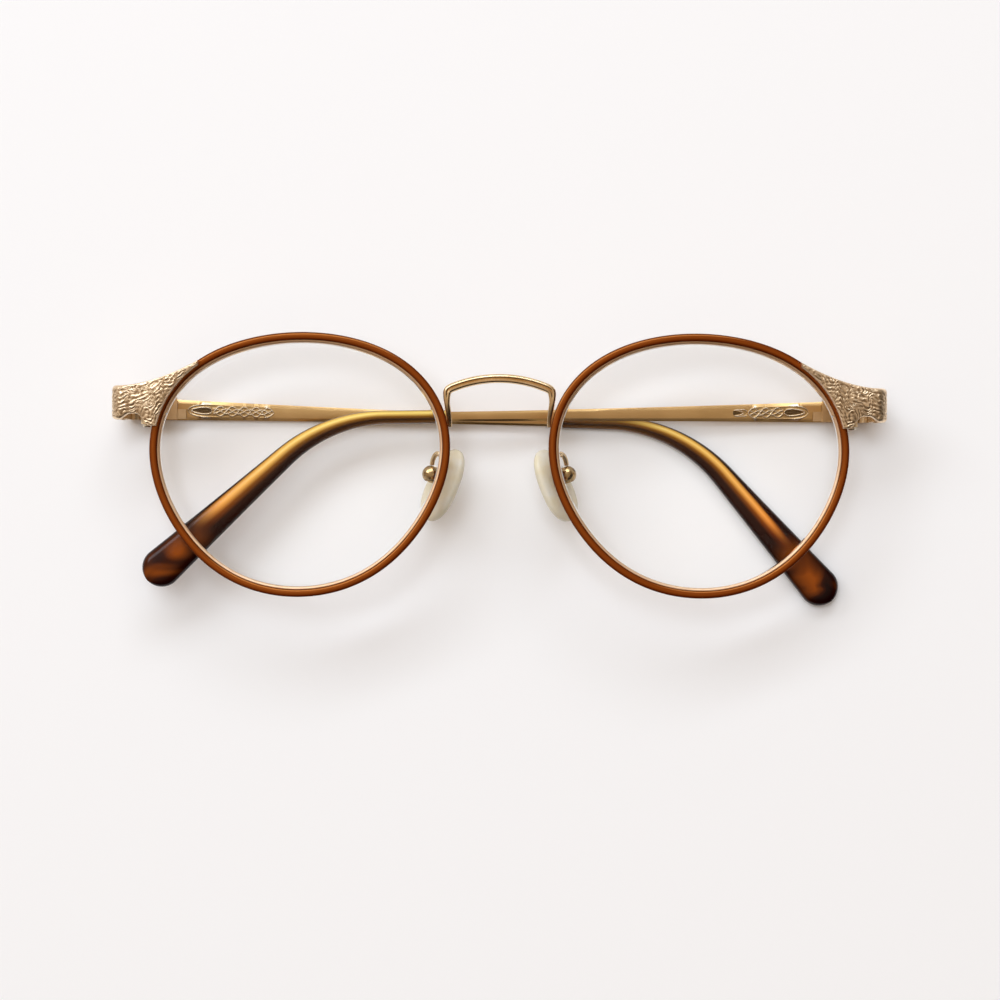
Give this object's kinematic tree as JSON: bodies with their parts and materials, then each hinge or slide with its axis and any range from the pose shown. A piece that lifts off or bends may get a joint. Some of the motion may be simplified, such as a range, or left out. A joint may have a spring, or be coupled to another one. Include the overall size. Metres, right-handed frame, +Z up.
{
  "type": "round eyeglasses",
  "caption": "Round metal eyeglasses with brown acetate rims, cast endpieces and tortoise temple tips, folded and lying face up.",
  "frame": {"origin": "on the floor under the middle of the folded glasses' bounding box", "axes": "+X along the front to the viewer's right, +Y to the top of the lenses, +Z up out of the front's face"},
  "size_m": [0.1376, 0.0484, 0.0168],
  "materials": {
    "clear_lens": "clear polished lens",
    "brass_wire": "polished gold-tone wire",
    "champagne_gold": "satin champagne gold",
    "cast_gold": "cast relief in champagne gold",
    "screw_steel": "small machined screws",
    "brown_acetate": "glossy reddish-brown acetate",
    "tortoise_acetate": "glossy dark tortoise acetate",
    "pad_silicone": "cloudy ivory pad"
  },
  "bodies": {
    "front": {"lens_left": "clear_lens", "lens_right": "clear_lens", "eyewire_left": "brass_wire", "eyewire_right": "brass_wire", "rim_cover_left": "brown_acetate", "rim_cover_right": "brown_acetate", "bridge": "brass_wire", "endpiece_left": "cast_gold", "endpiece_right": "cast_gold", "rim_lock_upper_left": "champagne_gold", "rim_lock_upper_right": "champagne_gold", "rim_lock_lower_left": "champagne_gold", "rim_lock_lower_right": "champagne_gold", "rim_lock_screw_left": "screw_steel", "rim_lock_screw_right": "screw_steel", "front_hinge_left": "champagne_gold", "front_hinge_right": "champagne_gold", "hinge_screw_left": "screw_steel", "hinge_screw_right": "screw_steel", "pad_arm_left": "brass_wire", "pad_arm_right": "brass_wire", "pad_box_left": "brass_wire", "pad_box_right": "brass_wire", "pad_pin_left": "screw_steel", "pad_pin_right": "screw_steel"},
    "temple_left": {"temple_hinge_left": "champagne_gold", "temple_left": "champagne_gold", "temple_tip_left": "tortoise_acetate"},
    "temple_right": {"temple_hinge_right": "champagne_gold", "temple_right": "champagne_gold", "temple_tip_right": "tortoise_acetate"},
    "pad_left": {"pad_left": "pad_silicone", "pad_insert_left": "brass_wire"},
    "pad_right": {"pad_right": "pad_silicone", "pad_insert_right": "brass_wire"}
  },
  "joints": [
    {"name": "temple_left_fold", "type": "hinge", "parent": "front", "child": "temple_left", "pos_m": [-0.0662, 0.01096, 0.003], "axis": [0, 1, 0], "range_deg": [0, 90]},
    {"name": "temple_right_fold", "type": "hinge", "parent": "front", "child": "temple_right", "pos_m": [0.0662, 0.01096, 0.003], "axis": [0, -1, 0], "range_deg": [0, 93.2]},
    {"name": "pad_left_rock", "type": "hinge", "parent": "front", "child": "pad_left", "pos_m": [-0.0122, -0.00074, 0.01032], "axis": [0.5498, -0.2448, 0.7986], "range_deg": [-8, 8]},
    {"name": "pad_right_rock", "type": "hinge", "parent": "front", "child": "pad_right", "pos_m": [0.0122, -0.00074, 0.01032], "axis": [-0.5498, -0.2448, 0.7986], "range_deg": [-8, 8]}
  ]
}
